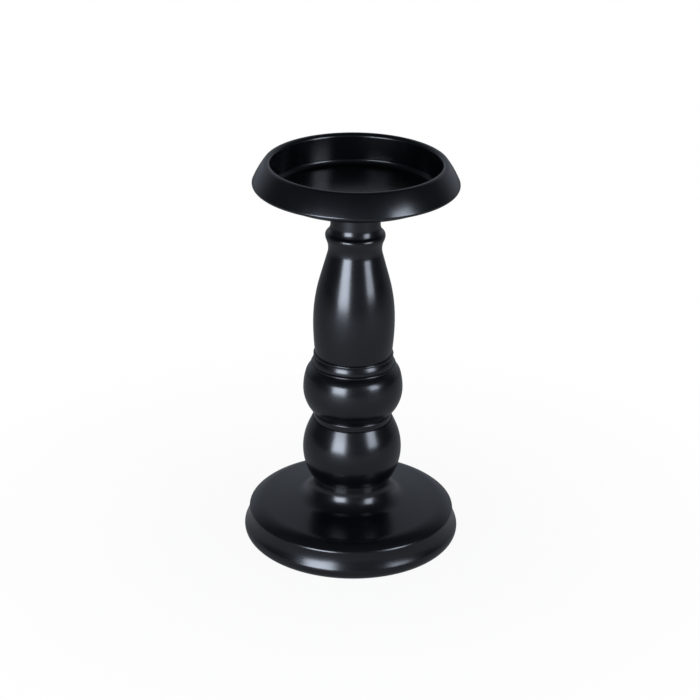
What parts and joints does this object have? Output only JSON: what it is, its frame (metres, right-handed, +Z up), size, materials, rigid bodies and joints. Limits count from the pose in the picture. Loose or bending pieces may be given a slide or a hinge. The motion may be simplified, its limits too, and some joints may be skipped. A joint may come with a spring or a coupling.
{
  "type": "candle holder",
  "caption": "Satin black pillar candle holder with a shallow round dish on a stem of stacked turned beads and a rolled, weighted, stepped round base",
  "frame": {"origin": "On the floor, at the centre of the round felt pad that the holder stands on.", "axes": "+Z runs up the stem, which is the axis of symmetry. -Y faces the viewer of the picture and +X is at the viewer's right; the object looks the same from every side."},
  "size_m": [0.114, 0.114, 0.2118],
  "materials": {
    "black_paint": "satin",
    "zinc_steel": "satin",
    "grey_iron": "matte",
    "fibre_board": "matte",
    "black_felt": "matte"
  },
  "bodies": {
    "root": {"candle_dish": "black_paint", "dish_boss": "zinc_steel", "neck": "black_paint", "baluster": "black_paint", "collar_ring": "black_paint", "upper_ball": "black_paint", "waist_ring": "black_paint", "lower_ball": "black_paint", "base_shell": "black_paint", "base_weight": "grey_iron", "base_cover": "fibre_board", "felt_pad": "black_felt", "tie_rod": "zinc_steel", "clamp_washer": "zinc_steel", "spring_washer": "zinc_steel", "lower_nut": "zinc_steel"}
  },
  "joints": []
}
